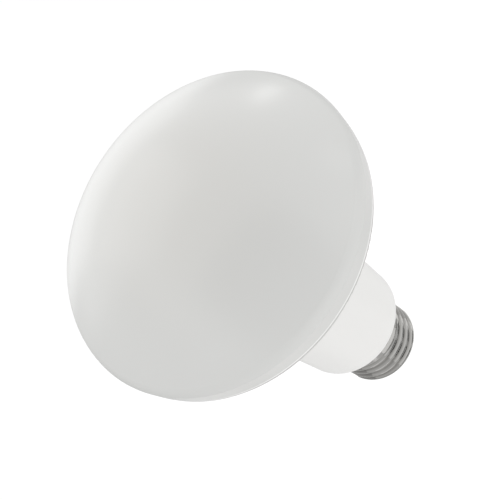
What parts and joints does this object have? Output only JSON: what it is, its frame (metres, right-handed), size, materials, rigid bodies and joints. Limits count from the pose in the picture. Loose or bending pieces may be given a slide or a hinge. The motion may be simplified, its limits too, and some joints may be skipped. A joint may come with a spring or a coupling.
{
  "type": "reflector bulb",
  "caption": "Sealed LED reflector bulb: a shallow opal dome over a flared white housing, a straight neck and a threaded metal screw cap.",
  "frame": {"origin": "on the lamp's axis, in the plane where the screw cap's shell meets the housing", "axes": "+Z along the lamp's axis from the cap towards the opal dome; +X and +Y are square to it, and only the thread's phase tells them apart"},
  "size_m": [0.0952, 0.0952, 0.1301],
  "materials": {
    "opal_cover": "satin opal moulding, milky white",
    "white_body": "smooth white moulding, half gloss",
    "plated_shell": "bright nickel plating on rolled sheet",
    "black_insulator": "black moulding, half gloss",
    "plated_contact": "bright nickel plating, pressed dome"
  },
  "bodies": {
    "root": {"diffuser": "opal_cover", "housing": "white_body", "screw_shell": "plated_shell", "cap_insulator": "black_insulator", "centre_contact": "plated_contact"}
  },
  "joints": []
}
